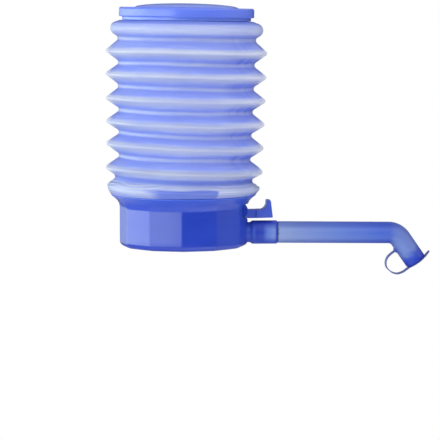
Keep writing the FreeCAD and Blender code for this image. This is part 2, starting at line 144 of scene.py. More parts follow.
def finish_mesh(mesh, angle=32.0):
    mesh.validate(clean_customdata=False)
    bm = bmesh.new()
    bm.from_mesh(mesh)
    bmesh.ops.remove_doubles(bm, verts=bm.verts, dist=1e-7)
    bmesh.ops.recalc_face_normals(bm, faces=bm.faces)
    bm.to_mesh(mesh)
    bm.free()
    for p in mesh.polygons:
        p.use_smooth = True
    mesh.set_sharp_from_angle(angle=math.radians(angle))
    mesh.update()


def piece(name, verts, faces, body, material, nodes=(), angle=32.0, attributes=None):
    """A new piece from points in millimetres, riding on a body."""
    mesh = bpy.data.meshes.new(name)
    mesh.from_pydata([tuple(c * MM for c in v) for v in verts], [], faces)
    for key, values in (attributes or {}).items():
        a = mesh.attributes.new(key, "FLOAT", "POINT")
        a.data.foreach_set("value", np.array(values, np.float32))
    finish_mesh(mesh, angle)
    mesh.materials.append(material)
    obj = bpy.data.objects.new(name, mesh)
    scene.collection.objects.link(obj)
    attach(obj, body)
    if nodes:
        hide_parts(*nodes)
    return obj


def revolve(outline, segments, place, tone=None):
    """Points and faces of a closed (r, z) outline turned about an axis; place(r, z, angle) gives each point."""
    verts, faces, tones = [], [], []
    n = len(outline)
    for k in range(segments):
        a = 2 * math.pi * k / segments
        for r, z in outline:
            verts.append(place(r, z, a))
            if tone is not None:
                tones.append(tone(r, z, a))
    for k in range(segments):
        k2 = (k + 1) % segments
        for i in range(n):
            j = (i + 1) % n
            faces.append((k * n + i, k2 * n + i, k2 * n + j, k * n + j))
    return verts, faces, tones


def arc_through(a, b, c, n):
    """n + 1 points of the circle through a, b and c, from a to c."""
    (ax, ay), (bx, by), (cx, cy) = a, b, c
    d = 2 * (ax * (by - cy) + bx * (cy - ay) + cx * (ay - by))
    ux = ((ax * ax + ay * ay) * (by - cy) + (bx * bx + by * by) * (cy - ay) + (cx * cx + cy * cy) * (ay - by)) / d
    uy = ((ax * ax + ay * ay) * (cx - bx) + (bx * bx + by * by) * (ax - cx) + (cx * cx + cy * cy) * (bx - ax)) / d
    r = math.hypot(ax - ux, ay - uy)
    t0, t1 = math.atan2(ay - uy, ax - ux), math.atan2(cy - uy, cx - ux)
    turn = (t1 - t0 + math.pi) % (2 * math.pi) - math.pi
    return [(ux + r * math.cos(t0 + turn * k / n), uy + r * math.sin(t0 + turn * k / n)) for k in range(n + 1)]


def tool(name, verts, faces):
    """A closed solid in millimetres to cut or join with."""
    mesh = bpy.data.meshes.new(name)
    mesh.from_pydata([tuple(c * MM for c in v) for v in verts], [], faces)
    mesh.validate()
    bm = bmesh.new()
    bm.from_mesh(mesh)
    bmesh.ops.remove_doubles(bm, verts=bm.verts, dist=1e-7)
    bmesh.ops.recalc_face_normals(bm, faces=bm.faces)
    bm.to_mesh(mesh)
    bm.free()
    obj = bpy.data.objects.new(name, mesh)
    scene.collection.objects.link(obj)
    return obj


def block(x0, x1, y0, y1, z0, z1, move=None):
    pts = [(x, y, z) for x in (x0, x1) for y in (y0, y1) for z in (z0, z1)]
    faces = [(0, 1, 3, 2), (4, 6, 7, 5), (0, 4, 5, 1), (2, 3, 7, 6), (0, 2, 6, 4), (1, 5, 7, 3)]
    return tool("block", [move(*p) for p in pts] if move else pts, faces)


def slab_xz(outline, y0, y1, turn=12.0):
    """Outline in XZ with rounded corners, run along Y."""
    line = fillet_path(outline, True, turn=turn, step=50.0)
    n = len(line)
    verts = [(p[0], y, p[1]) for y in (y0, y1) for p in line]
    faces = [(i, (i + 1) % n, n + (i + 1) % n, n + i) for i in range(n)]
    faces += [tuple(range(n))[::-1], tuple(range(n, 2 * n))]
    return tool("slab", verts, faces)


def rod(axis, r, a, b, u, v, segments=64):
    """Cylinder along x or y from a to b, centred at (u, v) in the other two directions."""
    verts = []
    for t in (a, b):
        for k in range(segments):
            c, s = r * math.cos(2 * math.pi * k / segments), r * math.sin(2 * math.pi * k / segments)
            verts.append((t, u + c, v + s) if axis == "x" else (u + c, t, v + s))
    n = segments
    faces = [(i, (i + 1) % n, n + (i + 1) % n, n + i) for i in range(n)]
    faces += [tuple(range(n))[::-1], tuple(range(n, 2 * n))]
    return tool("rod", verts, faces)


def combine(target, operation, *others):
    """Cuts others from target or joins them to it, and takes them away."""
    for other in others:
        mod = target.modifiers.new("combine", "BOOLEAN")
        mod.operation = operation
        mod.solver = "EXACT"
        mod.object = other
        depsgraph = bpy.context.evaluated_depsgraph_get()
        mesh = bpy.data.meshes.new_from_object(target.evaluated_get(depsgraph))
        target.modifiers.clear()
        old = target.data
        target.data = mesh
        bpy.data.meshes.remove(old)
        used = other.data
        bpy.data.objects.remove(other)
        bpy.data.meshes.remove(used)
    return target


def settle(obj, name, body, material, nodes=(), angle=32.0):
    """Makes a combined solid one of the pump's pieces."""
    obj.name = name
    obj.data.name = name
    finish_mesh(obj.data, angle)
    obj.data.materials.clear()
    obj.data.materials.append(material)
    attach(obj, body)
    if nodes:
        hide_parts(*nodes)
    return obj


# ================================================================ materials
def new_material(name):
    m = bpy.data.materials.new(name)
    m.use_nodes = True
    nt = m.node_tree
    for n in list(nt.nodes):
        nt.nodes.remove(n)
    out = nt.nodes.new("ShaderNodeOutputMaterial")
    return m, nt, out


class Graph:
    """Short calls for making nodes."""

    def __init__(self, nt):
        self.nt = nt

    def node(self, kind, **inputs):
        n = self.nt.nodes.new(kind)
        for key, value in inputs.items():
            self.put(n.inputs[key.replace("_", " ")], value)
        return n

    def put(self, socket, value):
        if isinstance(value, bpy.types.NodeSocket):
            self.nt.links.new(value, socket)
        elif isinstance(value, (tuple, list)) and len(value) == 3 and socket.type == "RGBA":
            socket.default_value = (*value, 1.0)
        else:
            socket.default_value = value

    def coords(self, scale=(1, 1, 1), tilt=0.0):
        tc = self.nt.nodes.new("ShaderNodeTexCoord")
        source = tc.outputs["Object"]
        if tilt:
            turn = self.nt.nodes.new("ShaderNodeMapping")
            turn.inputs["Rotation"].default_value = (0.0, -math.radians(tilt), 0.0)
            self.nt.links.new(source, turn.inputs["Vector"])
            source = turn.outputs["Vector"]
        mp = self.nt.nodes.new("ShaderNodeMapping")
        mp.inputs["Scale"].default_value = scale
        self.nt.links.new(source, mp.inputs["Vector"])
        return mp.outputs["Vector"]

    def noise(self, size, detail=3.0, rough=0.55, stretch=(1, 1, 1), distortion=0.0, tilt=0.0):
        """Noise with features about size metres across."""
        n = self.nt.nodes.new("ShaderNodeTexNoise")
        self.nt.links.new(self.coords(stretch, tilt), n.inputs["Vector"])
        n.inputs["Scale"].default_value = 1.0 / size
        n.inputs["Detail"].default_value = detail
        n.inputs["Roughness"].default_value = rough
        n.inputs["Distortion"].default_value = distortion
        return n.outputs["Fac"]

    def remap(self, value, a, b, c, d):
        n = self.nt.nodes.new("ShaderNodeMapRange")
        n.clamp = True
        self.put(n.inputs["Value"], value)
        for key, v in (("From Min", a), ("From Max", b), ("To Min", c), ("To Max", d)):
            n.inputs[key].default_value = v
        return n.outputs["Result"]

    def math(self, op, a, b=0.0, clamp=False):
        n = self.nt.nodes.new("ShaderNodeMath")
        n.operation = op
        n.use_clamp = clamp
        self.put(n.inputs[0], a)
        self.put(n.inputs[1], b)
        return n.outputs[0]

    def mix(self, fac, a, b, mode="MIX"):
        n = self.nt.nodes.new("ShaderNodeMix")
        n.data_type = "RGBA"
        n.blend_type = mode
        self.put(n.inputs[0], fac)
        self.put(n.inputs[6], a)
        self.put(n.inputs[7], b)
        return n.outputs[2]

    def ramp(self, value, stops):
        """Colours along a value from 0 to 1."""
        n = self.nt.nodes.new("ShaderNodeValToRGB")
        self.put(n.inputs[0], value)
        el = n.color_ramp.elements
        while len(el) > 1:
            el.remove(el[0])
        el[0].position = stops[0][0]
        el[0].color = (*stops[0][1], 1.0)
        for at, colour in stops[1:]:
            el.new(at).color = (*colour, 1.0)
        return n.outputs["Color"]

    def attribute(self, name):
        n = self.nt.nodes.new("ShaderNodeAttribute")
        n.attribute_name = name
        return n.outputs["Fac"]

    def bump(self, height, strength, distance):
        n = self.nt.nodes.new("ShaderNodeBump")
        n.inputs["Strength"].default_value = strength
        n.inputs["Distance"].default_value = distance
        self.nt.links.new(height, n.inputs["Height"])
        return n.outputs["Normal"]


def shade(c, k):
    return tuple(min(1.0, v * k) for v in c)


def moulded(name, colour, rough=0.28, vary=0.10, grain=0.00045, bump=0.12, ior=1.49, coat=0.0,
            subsurface=0.0, radius=(0.002, 0.002, 0.004), pale=None, cloud=0.018, flow=0.0, metallic=0.0,
            rough_vary=0.07, specular=0.5, painted_glow_along_x=None, painted_light_by_height=None, level=0.0, wobble=0.0005):
    """Injection moulded plastic or rubber: clouded colour, faint flow lines, fine grain, uneven gloss; optionally
    painted light and shade along x, and painted light that changes with height.
    """
    m, nt, out = new_material(name)
    g = Graph(nt)
    big = g.noise(cloud, 3.0, 0.5, distortion=0.3)
    fine = g.noise(grain, 2.0, 0.6)
    lines = g.noise(0.004, 2.0, 0.5, stretch=(0.16, 0.16, 1.4))
    base = g.mix(g.remap(big, 0.3, 0.7, 0, 1), shade(colour, 1 - vary), shade(colour, 1 + vary))
    # painted light along x: a lighter neck and a glowing highlight patch near the end, with painted shade towards the
    # upper and lower edges
    if painted_glow_along_x:
        x0, x1, stops, edge_shade_colour = painted_glow_along_x
        sep = nt.nodes.new("ShaderNodeSeparateXYZ")
        nt.links.new(g.coords(), sep.inputs[0])
        off_axis = g.math("ABSOLUTE", g.math("SUBTRACT", sep.outputs[2], 0.0075))
        along = g.mix(g.remap(off_axis, 0.0020, 0.0056, 0.0, 1.0), g.ramp(g.remap(sep.outputs[0], x0, x1, 0.0, 1.0), stops), edge_shade_colour)
        base = g.mix(1.0, along, g.mix(g.remap(big, 0.3, 0.7, 0, 1), (1 - vary,) * 3, (1.0, 1.0, 1.0)), "MULTIPLY")
    base = g.mix(g.remap(lines, 0.35, 0.65, 0.0, 0.10 if painted_glow_along_x else 0.28), base, pale or shade(colour, 1 + 1.6 * vary))
    # painted light: colour that changes with height, standing in for reflection and light through the wall
    if painted_light_by_height:
        z0, z1, stops = painted_light_by_height
        sep = nt.nodes.new("ShaderNodeSeparateXYZ")
        nt.links.new(g.coords(tilt=level), sep.inputs[0])
        up = g.remap(g.math("ADD", sep.outputs[2], g.remap(big, 0.3, 0.7, -wobble, wobble)), z0, z1, 0.0, 1.0)
        base = g.mix(g.remap(up, 0.0, 0.04, 0.0, 1.0), base, g.ramp(up, stops))
    specks = g.remap(g.noise(0.0011, 1.0, 0.4), 0.70, 0.78, 0.0, 0.30)
    base = g.mix(specks, base, shade(colour, 0.72))
    bsdf = g.node("ShaderNodeBsdfPrincipled")
    g.put(bsdf.inputs["Base Color"], base)
    g.put(bsdf.inputs["Roughness"], g.remap(g.math("ADD", g.math("MULTIPLY", big, 0.6), g.math("MULTIPLY", fine, 0.4)),
                                            0.3, 0.7, rough - rough_vary, rough + rough_vary))
    bsdf.inputs["IOR"].default_value = ior
    bsdf.inputs["Metallic"].default_value = metallic
    bsdf.inputs["Coat Weight"].default_value = coat
    bsdf.inputs["Specular IOR Level"].default_value = specular
    if subsurface:
        bsdf.inputs["Subsurface Weight"].default_value = subsurface
        bsdf.inputs["Subsurface Radius"].default_value = radius
        bsdf.inputs["Subsurface Scale"].default_value = 1.0
    height = g.math("ADD", g.math("MULTIPLY", fine, 0.35), g.math("MULTIPLY", lines, 0.65 if flow else 0.25))
    g.put(bsdf.inputs["Normal"], g.bump(height, bump, 0.00012 if flow else 0.00006))
    nt.links.new(bsdf.outputs[0], out.inputs["Surface"])
    return m


def milky(name, deep, pale, rough=0.3, alpha_deep=1.0, alpha_pale=1.0, transmission=0.0, subsurface=0.0,
          radius=(0.003, 0.003, 0.006), vary=0.08, bump=0.15, ramp=None, ior=1.45, stretch=(0.1, 0.1, 1.6),
          see_through_and_shade_colour=None, specular=0.5, through=0.0, tilt=0.0, crease_shade=None, rim_shade_colour=None):
    """Milky see-through plastic. Attribute tone runs from the deep colour of the walls to the pale one of the folds,
    which is partly thin wall and partly painted highlight.
    """
    m, nt, out = new_material(name)
    g = Graph(nt)
    big = g.noise(0.022, 3.0, 0.5, distortion=0.4)
    fine = g.noise(0.0006, 2.0, 0.6)
    lines = g.noise(0.0026, 2.0, 0.5, stretch=stretch, tilt=tilt)
    tone = g.attribute("tone")
    uneven = g.math("ADD", tone, g.remap(lines, 0.3, 0.7, -0.10, 0.10), clamp=True)
    if crease_shade is not None:
        thread = g.noise(0.0011, 2.0, 0.6, stretch=(0.05, 0.05, 1.0), tilt=tilt)
        uneven = g.math("ADD", uneven, g.remap(thread, 0.32, 0.68, -0.16, 0.16), clamp=True)
    # with a ramp the colour runs along attribute run; on the spout this ramp is painted light
    base = g.mix(uneven, deep, pale) if ramp is None else g.ramp(g.math("ADD", g.attribute("run"), g.remap(lines, 0.3, 0.7, -0.012, 0.012)), ramp)
    base = g.mix(g.remap(big, 0.3, 0.7, 0.0, 1.0), base, g.mix(1.0, base, (1 - vary, 1 - vary, 1 - 0.5 * vary), "MULTIPLY"))
    # the rim's colour painted where the skirt clings to it, and painted shade at the joins
    if see_through_and_shade_colour is not None:
        base = g.mix(g.attribute("see_through_and_shade"), base, see_through_and_shade_colour)
    if rim_shade_colour is not None:
        # painted shade: darker along the tube's upper and lower side and the outer side of the bend
        base = g.mix(g.attribute("rim_shade"), base, g.mix(1.0, base, rim_shade_colour, "MULTIPLY"))
    if crease_shade is not None:
        # fine creases that run down the slopes of the folds, most of them on the side it leans to: bumps, with darker
        # blue painted into them as shade
        sep = nt.nodes.new("ShaderNodeSeparateXYZ")
        nt.links.new(g.coords(), sep.inputs[0])
        flat = nt.nodes.new("ShaderNodeCombineXYZ")
        nt.links.new(g.math("SUBTRACT", sep.outputs[0], 0.0012), flat.inputs[0])
        nt.links.new(sep.outputs[1], flat.inputs[1])
        unit = nt.nodes.new("ShaderNodeVectorMath")
        unit.operation = "NORMALIZE"
        nt.links.new(flat.outputs[0], unit.inputs[0])
        apart = nt.nodes.new("ShaderNodeSeparateXYZ")
        nt.links.new(unit.outputs[0], apart.inputs[0])
        fan = nt.nodes.new("ShaderNodeCombineXYZ")
        nt.links.new(apart.outputs[0], fan.inputs[0])
        nt.links.new(apart.outputs[1], fan.inputs[1])
        nt.links.new(g.math("MULTIPLY", sep.outputs[2], 1.3), fan.inputs[2])
        pleat = nt.nodes.new("ShaderNodeTexNoise")
        nt.links.new(fan.outputs[0], pleat.inputs["Vector"])
        pleat.inputs["Scale"].default_value = 38.0
        pleat.inputs["Detail"].default_value = 2.0
        pleat.inputs["Roughness"].default_value = 0.6
        here = g.attribute("creased")
        base = g.mix(g.math("MULTIPLY", here, g.remap(pleat.outputs["Fac"], 0.45, 0.57, 0.18, 1.0)), base, crease_shade)
        # painted highlight: near white along the top of each fold
        base = g.mix(g.math("MULTIPLY", g.attribute("ridge_highlight"), g.remap(thread, 0.3, 0.7, 0.35, 1.0)), base, (0.98, 0.99, 1.0))
    bsdf = g.node("ShaderNodeBsdfPrincipled")
    bsdf.inputs["Specular IOR Level"].default_value = specular
    g.put(bsdf.inputs["Base Color"], base)
    g.put(bsdf.inputs["Roughness"], g.remap(g.math("ADD", g.math("MULTIPLY", big, 0.5), g.math("MULTIPLY", fine, 0.5)),
                                            0.3, 0.7, rough - 0.06, rough + 0.08))
    bsdf.inputs["IOR"].default_value = ior
    bsdf.inputs["Transmission Weight"].default_value = transmission
    if subsurface:
        bsdf.inputs["Subsurface Weight"].default_value = subsurface
        bsdf.inputs["Subsurface Radius"].default_value = radius
        bsdf.inputs["Subsurface Scale"].default_value = 1.0
    height = g.math("ADD", g.math("MULTIPLY", fine, 0.2), g.math("MULTIPLY", lines, 0.8))
    if crease_shade is not None:
        height = g.math("ADD", height, g.math("MULTIPLY", thread, 0.5))
        height = g.math("ADD", height, g.math("MULTIPLY", g.math("MULTIPLY", here, pleat.outputs["Fac"]), 1.6))
    g.put(bsdf.inputs["Normal"], g.bump(height, bump, 0.00012))
    surface = bsdf.outputs[0]
    if through:
        glow = g.node("ShaderNodeBsdfTranslucent")
        g.put(glow.inputs["Color"], base)
        both = nt.nodes.new("ShaderNodeMixShader")
        both.inputs[0].default_value = through
        nt.links.new(surface, both.inputs[1])
        nt.links.new(glow.outputs[0], both.inputs[2])
        surface = both.outputs[0]
    if alpha_deep < 1.0 or alpha_pale < 1.0:
        veil = g.remap(g.attribute("thin"), 0.0, 1.0, alpha_deep, alpha_pale)
        if see_through_and_shade_colour is not None:
            veil = g.math("MAXIMUM", veil, g.attribute("see_through_and_shade"))
        clear = nt.nodes.new("ShaderNodeBsdfTransparent")
        seen = nt.nodes.new("ShaderNodeMixShader")
        nt.links.new(veil, seen.inputs[0])
        nt.links.new(clear.outputs[0], seen.inputs[1])
        nt.links.new(surface, seen.inputs[2])
        surface = seen.outputs[0]
    nt.links.new(surface, out.inputs["Surface"])
    return m


def steel(name, colour=(0.56, 0.57, 0.58), rough=0.3, along=(1.0, 0.03, 1.0)):
    m, nt, out = new_material(name)
    g = Graph(nt)
    brush = g.noise(0.0004, 3.0, 0.6, stretch=along)
    big = g.noise(0.006, 2.0)
    bsdf = g.node("ShaderNodeBsdfPrincipled")
    g.put(bsdf.inputs["Base Color"], g.mix(g.remap(big, 0.3, 0.7, 0, 1), shade(colour, 0.86), shade(colour, 1.08)))
    bsdf.inputs["Metallic"].default_value = 1.0
    g.put(bsdf.inputs["Roughness"], g.remap(brush, 0.3, 0.7, rough - 0.08, rough + 0.12))
    g.put(bsdf.inputs["Normal"], g.bump(brush, 0.2, 0.00003))
    nt.links.new(bsdf.outputs[0], out.inputs["Surface"])
    return m


# painted light: the housing's flare gets lighter towards its top
HOUSING = moulded("housing_plastic", (0.019, 0.051, 0.44), rough=0.20, vary=0.06, subsurface=0.2,
                  radius=(0.001, 0.001, 0.003), pale=(0.024, 0.060, 0.48), bump=0.08,
                  painted_light_by_height=(0.0223, 0.0300, [(0.0, (0.026, 0.068, 0.50)), (0.45, (0.024, 0.070, 0.53)), (0.8, (0.045, 0.105, 0.60)),
                                          (1.0, (0.060, 0.130, 0.64))]))
# painted light on the cap: the neck under the rim is lighter, and the dome gets lighter towards its top as a painted
# reflection
CAP = moulded("cap_plastic", (0.118, 0.188, 0.74), rough=0.22, vary=0.05, subsurface=0.2,
              radius=(0.002, 0.002, 0.004), pale=(0.15, 0.225, 0.79), bump=0.08, level=0.9, wobble=0.0001,
              painted_light_by_height=(0.1270, 0.1375, [(0.0, (0.21, 0.32, 0.90)), (0.281, (0.20, 0.31, 0.88)), (0.319, (0.118, 0.188, 0.74)),
                                      (0.55, (0.125, 0.198, 0.76)), (0.802, (0.118, 0.188, 0.74)), (0.86, (0.155, 0.235, 0.79)),
                                      (1.0, (0.205, 0.300, 0.86))]))
# the socket's colour along x is painted light: a lighter neck, a glowing highlight patch, and painted shade at its
# upper and lower edges
SOCKET = moulded("socket_plastic", (0.04, 0.09, 0.52), rough=0.30, vary=0.08, subsurface=0.15,
                 pale=(0.05, 0.11, 0.55), bump=0.12, specular=0.22,
                 painted_glow_along_x=(0.034, 0.054, [(0.0, (0.050, 0.105, 0.56)), (0.29, (0.050, 0.105, 0.56)), (0.37, (0.022, 0.052, 0.43)),
                                         (0.55, (0.030, 0.070, 0.47)), (0.67, (0.115, 0.20, 0.60)), (0.86, (0.175, 0.26, 0.62)),
                                         (0.905, (0.13, 0.21, 0.56)), (0.93, (0.024, 0.050, 0.38)), (1.0, (0.024, 0.050, 0.38))],
                          (0.026, 0.058, 0.45)))
LEVER = moulded("lever_plastic", (0.065, 0.115, 0.56), rough=0.26, vary=0.08, subsurface=0.2,
                radius=(0.0015, 0.0015, 0.003), pale=(0.09, 0.15, 0.62), bump=0.10, specular=0.3)
# painted on the bellows: highlights on the folds, shade in the creases, the rim's colour where the skirt clings, and
# shade at the joins
BELLOWS = milky("bellows_plastic", (0.42, 0.52, 1.0), (0.80, 0.86, 1.0), rough=0.15, alpha_deep=0.95, alpha_pale=0.46,
                see_through_and_shade_colour=(0.15, 0.24, 0.84), specular=0.45, through=0.38, tilt=1.5, crease_shade=(0.17, 0.27, 0.90), bump=0.3)
# the spout's colour along its length is painted light: lighter near the socket, darkest before the bend, paler past the
# bend, dark at the end
SPOUT = milky("spout_plastic", (0.20, 0.30, 0.66), (0.30, 0.40, 0.72), rough=0.24, ior=1.45, specular=0.35, through=0.25,
              ramp=[(0.0, (0.14, 0.21, 0.55)), (0.02, (0.34, 0.44, 0.76)), (0.14, (0.27, 0.37, 0.74)), (0.40, (0.165, 0.27, 0.72)),
                    (0.68, (0.088, 0.17, 0.68)), (0.735, (0.092, 0.17, 0.66)), (0.775, (0.16, 0.245, 0.65)), (0.84, (0.205, 0.29, 0.675)),
                    (0.905, (0.21, 0.295, 0.665)),
                    (0.95, (0.048, 0.10, 0.60)), (1.0, (0.026, 0.06, 0.54))],
              stretch=(0.08, 1.0, 1.0), rim_shade_colour=(0.42, 0.50, 0.78))
TIP = moulded("tip_plastic", (0.070, 0.095, 0.33), rough=0.34, vary=0.08, pale=(0.11, 0.145, 0.42))
LUG = moulded("lug_plastic", (0.045, 0.085, 0.42), rough=0.32, vary=0.08, pale=(0.06, 0.11, 0.46))
INNER = moulded("inner_plastic", (0.42, 0.47, 0.66), rough=0.42, vary=0.05, subsurface=0.2, pale=(0.5, 0.55, 0.72),
                bump=0.18)
SILICONE = moulded("silicone", (0.62, 0.64, 0.67), rough=0.48, vary=0.06, subsurface=0.4, ior=1.41, bump=0.2,
                   pale=(0.7, 0.72, 0.75))
SEAL = moulded("seal_rubber", (0.022, 0.023, 0.026), rough=0.55, vary=0.25, bump=0.35, grain=0.0003, ior=1.5)
STEEL = steel("brushed_steel")

NODE_MATERIALS = {
    "base_housing": HOUSING, "neck_grip": INNER, "neck_gasket": SEAL, "valve_deck": INNER, "deck_seal": SEAL,
    "outlet_duct": INNER, "vent_cover": INNER, "outlet_socket": SOCKET, "bellows_seal": SEAL,
    "lever_pin": STEEL, "lever_spring": STEEL, "release_lever": LEVER, "vent_plug": SILICONE, "press_cap": CAP,
    "intake_plate": INNER, "plate_seal": SEAL, "intake_valve": SILICONE, "delivery_valve": SILICONE,
    "spout_o_ring": SEAL, "spout": SPOUT, "strap_lug": LUG, "spout_cap": TIP,
}
for node_name, material in NODE_MATERIALS.items():
    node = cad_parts[node_name]
    node.data.materials.clear()
    node.data.materials.append(material)

# ================================================================ housing
CORNER = math.radians(15.0)
APOTHEM = 36.6 * math.cos(CORNER)
TWIST = 3.0
CREASE = 22.3
BULGE = 0.28          # the flats are a little convex


def flats_r(a, inset):
    """Radius of the twelve flats, set in by inset, with their upright edges rounded."""
    off = math.radians((math.degrees(a) + TWIST + 1e-6) % 30.0 - 15.0)
    ap = APOTHEM - inset + BULGE * (1.0 - (math.degrees(off) / 15.0) ** 2)
    rc = max(0.6, 3.6 - 0.7 * inset)
    if abs(off) <= math.atan2((ap - rc) * math.tan(CORNER), ap):
        return ap / math.cos(off)
    d = (ap - rc) / math.cos(CORNER)
    chi = CORNER - abs(off)
    return d * math.cos(chi) + math.sqrt(rc * rc - (d * math.sin(chi)) ** 2)


def wall_r(a, z):
    t = max(0.0, (z - CREASE) / (29.2 - CREASE))
    m = smoothstep(CREASE, 28.6, z)
    return flats_r(a, 0.0) * (1.0 - m) + 36.15 * m + 0.45 * t + 4.5 * t ** 2.15


def foot(a, t):
    """Inset and height of the rounding at the bottom."""
    return 3.0 * (1 - math.sin(t)), 3.0 * (1 - math.cos(t))


cols = [math.radians(30 * k + 15 + d - TWIST) for k in range(12)
        for d in (-15.0, -14.5, -14.0, -13.53, -12.8, -9.0, -4.5, 0.0, 4.5, 9.0, 12.8, 13.53, 14.0, 14.5)]
rows = []
for k in range(10):
    rows.append((lambda a, t=math.radians(10 * k): foot(a, t)[1], lambda a, t=math.radians(10 * k): flats_r(a, foot(a, t)[0])))
for z in (5.6, 8.0, 12.0, 16.0, 19.0, 21.5, 22.25, 22.35, 22.6, 22.9, 23.2, 23.6, 24.0, 24.5, 25.0, 25.4,
          25.8, 26.4, 27.0, 27.6, 28.1, 28.6, 28.9):
    rows.append((z, lambda a, z=z: wall_r(a, z)))
for r, z in ((41.1, 29.2), (41.24, 29.5), (41.22, 29.75), (41.08, 29.95), (40.85, 30.03), (39.95, 30.03), (39.85, 30.1),
             (39.85, 31.2), (40.2, 31.32), (40.7, 31.6), (40.7, 31.9), (39.85, 32.15), (39.3, 32.2), (39.3, 33.65),
             (39.85, 33.7), (40.3, 33.85), (40.3, 34.15), (39.85, 34.4), (39.5, 34.75), (38.95, 35.2), (30.0, 35.2)):
    rows.append((z, lambda a, r=r: r))
verts, faces = [], []
for z, radius in rows:
    for a in cols:
        r = radius(a)
        verts.append((r * math.cos(a), r * math.sin(a), z(a) if callable(z) else z))
n = len(cols)
for i in range(len(rows) - 1):
    for k in range(n):
        faces.append((i * n + k, i * n + (k + 1) % n, (i + 1) * n + (k + 1) % n, (i + 1) * n + k))
faces.append(tuple(range(n))[::-1])
faces.append(tuple((len(rows) - 1) * n + k for k in range(n)))
shell = tool("shell", verts, faces)


def turned_tool(outline, segments=120):
    verts, faces, _ = revolve(outline, segments, lambda r, z, a: (r * math.cos(a), r * math.sin(a), z))
    return tool("turned", verts, faces)


hollow = turned_tool([(0, -1), (29, -1), (29, 1.8), (30.2, 1.8), (33.2, 5.2), (33.2, 13.4), (31.4, 13.7), (31.4, 15.2),
                      (33.9, 15.2), (33.9, 21.4), (36.2, 25.6), (38.1, 29.0), (38.1, 36.2), (0, 36.2)], 144)
combine(hollow, "DIFFERENCE", block(31.7, 50, -30, 30, 15.2, 25.2), block(29.3, 50, -6.2, 6.2, -2, 15.2),
        block(28.1, 29.4, -6.2, 6.2, 12.3, 15.2))
combine(shell, "DIFFERENCE", hollow, block(30.2, 33.7, -5, 5, 2.9, 15), block(28.9, 31.1, -5, 5, 13.1, 16.2),
        rod("x", 5.85, 33.6, 45, 0.0, 7.5),
        slab_xz([(32.6, 16.4, 1.6), (46, 16.4), (46, 24.3), (32.6, 24.3, 0.8)], -30, 30),
        block(35.4, 45, -4.4, 4.4, 15.1, 16.5))
EAR = [(32.2, 17.1), (34.0, 17.1, 0.8), (35.75, 19.0, 1.3), (35.75, 21.8, 1.3), (34.2, 23.7, 0.8), (32.2, 23.7)]
combine(shell, "UNION", slab_xz(EAR, -10.6, -8.5), slab_xz(EAR, 8.5, 10.6))
combine(shell, "DIFFERENCE", rod("y", 1.0, -10.1, 10.1, 34.4, 20.3, 32), block(30.5, 33.6, 4.5, 8.7, 18.6, 24))
for turn in (90, 180, 270):
    c, sn = round(math.cos(math.radians(turn))), round(math.sin(math.radians(turn)))
    combine(shell, "UNION", block(32.9, 34.6, -2.5, 2.5, 18.05, 19.6, lambda x, y, z: (c * x - sn * y, sn * x + c * y, z)))
settle(shell, "housing_shell", "base", HOUSING, ("base_housing",), 24.0)

pin = []
for y, r in ((-10.0, 0.75), (-9.8, 0.97), (9.8, 0.97), (10.0, 0.75)):
    pin += [(34.4 + r * math.cos(math.radians(15 * k)), y, 20.3 + r * math.sin(math.radians(15 * k))) for k in range(24)]
faces = [(i * 24 + k, i * 24 + (k + 1) % 24, (i + 1) * 24 + (k + 1) % 24, (i + 1) * 24 + k) for i in range(3) for k in range(24)]
faces += [tuple(range(24))[::-1], tuple(72 + k for k in range(24))]
piece("lever_pin_set", pin, faces, "base", STEEL, ("lever_pin",), 30.0)

# the lever's return spring, a few turns with closed ends
WIRE, COIL, LOW, HIGH = 0.18, 1.2, 22.64, 25.18
line = []
for k in range(4 * 32 + 17):
    turn = k / 32.0
    rise = 0.36 * min(turn, 1.0) + 0.36 * max(0.0, turn - 3.5) + (HIGH - LOW - 0.72) / 2.5 * min(2.5, max(0.0, turn - 1.0))
    line.append((24.0 + COIL * math.cos(2 * math.pi * turn), 6.6 + COIL * math.sin(2 * math.pi * turn), LOW + rise))
verts, faces = [], []
for i, q in enumerate(line):
    a = 2 * math.pi * i / 32.0
    for k in range(12):
        t = 2 * math.pi * k / 12
        out_by, up_by = WIRE * math.cos(t), WIRE * math.sin(t)
        verts.append((q[0] + out_by * math.cos(a), q[1] + out_by * math.sin(a), q[2] + up_by))
faces = [(i * 12 + k, i * 12 + (k + 1) % 12, (i + 1) * 12 + (k + 1) % 12, (i + 1) * 12 + k)
         for i in range(len(line) - 1) for k in range(12)]
faces += [tuple(range(12))[::-1], tuple((len(line) - 1) * 12 + k for k in range(12))]
coil = piece("lever_spring_coil", verts, faces, "base", STEEL, ("lever_spring",), 40.0)
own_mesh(coil)

# ================================================================ bellows
# the pump leans a little above its collar, and the rings tilt with it
TILT_Z = [30.5, 35.0, 39.0, 57.0, 70.0, 83.0, 97.0, 110.0, 124.0, 138.0]
TILT = [0.0, 1.6, 1.8, 2.0, 1.8, 1.55, 1.4, 1.2, 0.9, 0.9]


def tilt_at(z):
    return float(np.interp(z, TILT_Z, TILT))


def lean_at(z):
    seated = 0.5 * smoothstep(37.0, 47.0, z) - 0.35 * smoothstep(122.0, 127.5, z)
    return seated + max(0.0, z - 40.0) * math.tan(math.radians(1.05)) * smoothstep(38.0, 60.0, z)


def leaned(x, y, z, level):
    """A point at height level of the upright pump, put where the leaning pump has it."""
    t = math.radians(tilt_at(level))
    return (lean_at(level) + x, y, z - x * math.tan(t))


